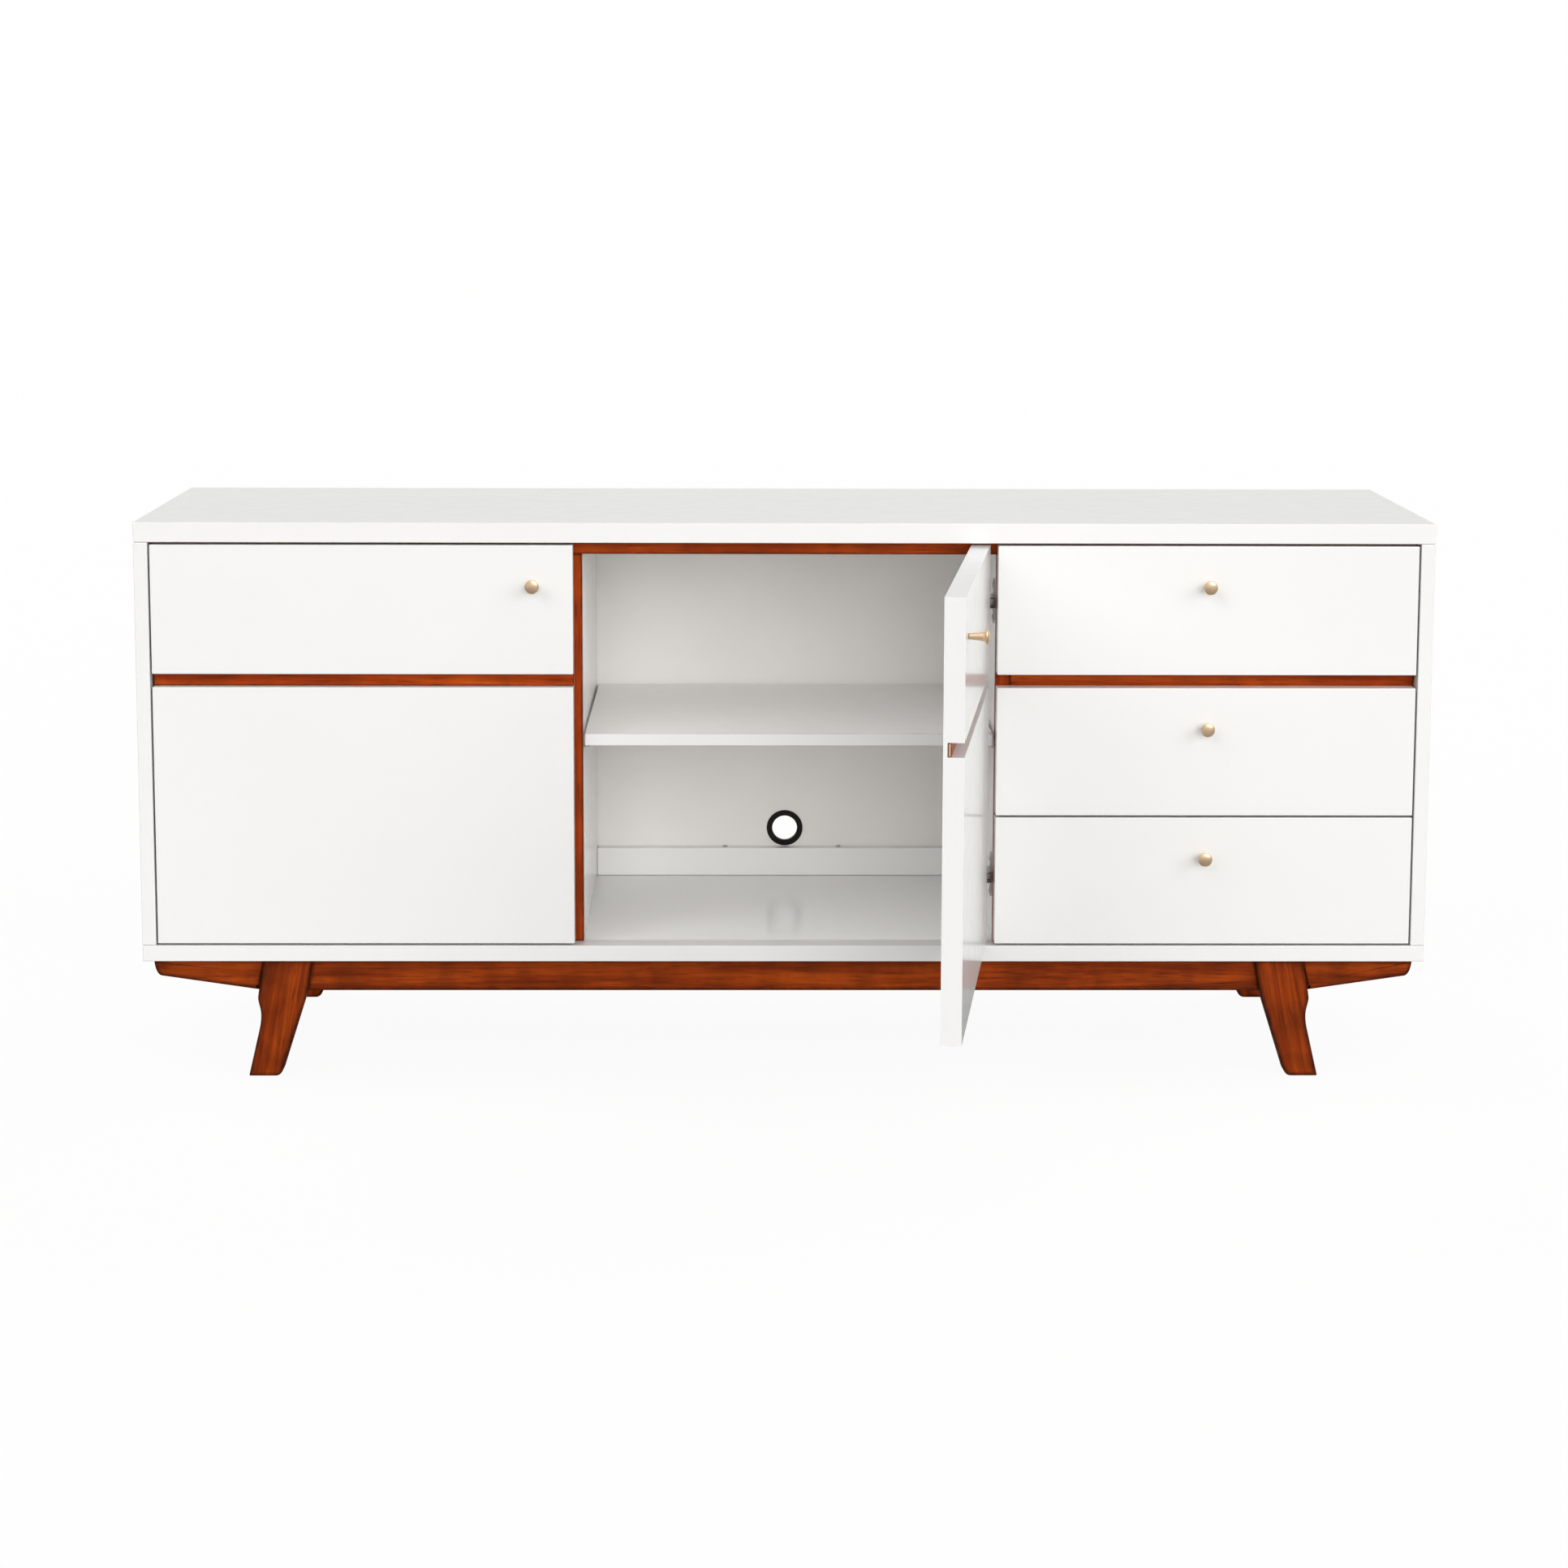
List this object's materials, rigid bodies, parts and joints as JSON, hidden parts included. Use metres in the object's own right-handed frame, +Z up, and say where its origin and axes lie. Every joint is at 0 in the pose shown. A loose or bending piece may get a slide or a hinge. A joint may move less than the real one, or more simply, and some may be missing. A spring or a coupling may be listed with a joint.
{
  "type": "media console cabinet",
  "caption": "Low media console with a hinged door, an open-fronted centre bay behind a second door with shelf and cable outlet, stacked drawers and a splayed wood base.",
  "frame": {"origin": "on the floor, at the middle of the box round the whole object with the centre door standing open as at rest", "axes": "+X to the right seen from the front, +Y to the rear, +Z up"},
  "size_m": [1.6256, 0.9668, 0.7112],
  "materials": {
    "white_lacquer": "satin white lacquer over board",
    "stained_wood": "red-brown stain under a satin clear coat",
    "drawer_box": "clear-sealed pale wood",
    "back_board": "white-faced thin board",
    "champagne_metal": "satin champagne plating",
    "nickel": "nickel plate",
    "zinc_steel": "bright zinc plate",
    "black_plastic": "moulded matte black"
  },
  "bodies": {
    "case": {"back_panel": "back_board", "bottom_board": "white_lacquer", "cable_grommet": "black_plastic", "cross_rail_left": "stained_wood", "cross_rail_right": "stained_wood", "divider_left": "white_lacquer", "divider_lipping_left": "stained_wood", "divider_lipping_right": "stained_wood", "divider_right": "white_lacquer", "drawer_rail": "stained_wood", "front_beam": "stained_wood", "hinge_arm_center_lower": "nickel", "hinge_arm_center_upper": "nickel", "hinge_arm_left_lower": "nickel", "hinge_arm_left_upper": "nickel", "leg_front_left": "stained_wood", "leg_front_right": "stained_wood", "leg_rear_left": "stained_wood", "leg_rear_right": "stained_wood", "rear_beam": "stained_wood", "rear_rail": "white_lacquer", "shelf": "white_lacquer", "side_left": "white_lacquer", "side_right": "white_lacquer", "slide_1_left": "zinc_steel", "slide_1_right": "zinc_steel", "slide_2_left": "zinc_steel", "slide_2_right": "zinc_steel", "slide_3_left": "zinc_steel", "slide_3_right": "zinc_steel", "top_board": "white_lacquer", "top_rail": "stained_wood"},
    "left_door": {"door_left": "white_lacquer", "inlay_left": "stained_wood", "knob_left": "champagne_metal", "hinge_cup_left_lower": "nickel", "hinge_cup_left_upper": "nickel"},
    "center_door": {"door_center": "white_lacquer", "inlay_center": "stained_wood", "knob_center": "champagne_metal", "hinge_cup_center_lower": "nickel", "hinge_cup_center_upper": "nickel"},
    "drawer_1": {"drawer_1_front": "white_lacquer", "drawer_1_side_left": "drawer_box", "drawer_1_side_right": "drawer_box", "drawer_1_back": "drawer_box", "drawer_1_bottom": "drawer_box", "knob_drawer_1": "champagne_metal"},
    "drawer_2": {"drawer_2_front": "white_lacquer", "drawer_2_side_left": "drawer_box", "drawer_2_side_right": "drawer_box", "drawer_2_back": "drawer_box", "drawer_2_bottom": "drawer_box", "knob_drawer_2": "champagne_metal"},
    "drawer_3": {"drawer_3_front": "white_lacquer", "drawer_3_side_left": "drawer_box", "drawer_3_side_right": "drawer_box", "drawer_3_back": "drawer_box", "drawer_3_bottom": "drawer_box", "knob_drawer_3": "champagne_metal"}
  },
  "joints": [
    {"name": "left_door_hinge", "type": "hinge", "parent": "case", "child": "left_door", "pos_m": [-0.782, 0.02923, 0.4294], "axis": [0, 0, -1], "range_deg": [0, 105]},
    {"name": "center_door_hinge", "type": "hinge", "parent": "case", "child": "center_door", "pos_m": [0.25257, 0.02923, 0.4294], "axis": [0, 0, 1], "range_deg": [-83, 7]},
    {"name": "drawer_1_slide", "type": "slide", "parent": "case", "child": "drawer_1", "axis": [0, -1, 0], "range_m": [0, 0.3]},
    {"name": "drawer_2_slide", "type": "slide", "parent": "case", "child": "drawer_2", "axis": [0, -1, 0], "range_m": [0, 0.3]},
    {"name": "drawer_3_slide", "type": "slide", "parent": "case", "child": "drawer_3", "axis": [0, -1, 0], "range_m": [0, 0.3]}
  ]
}
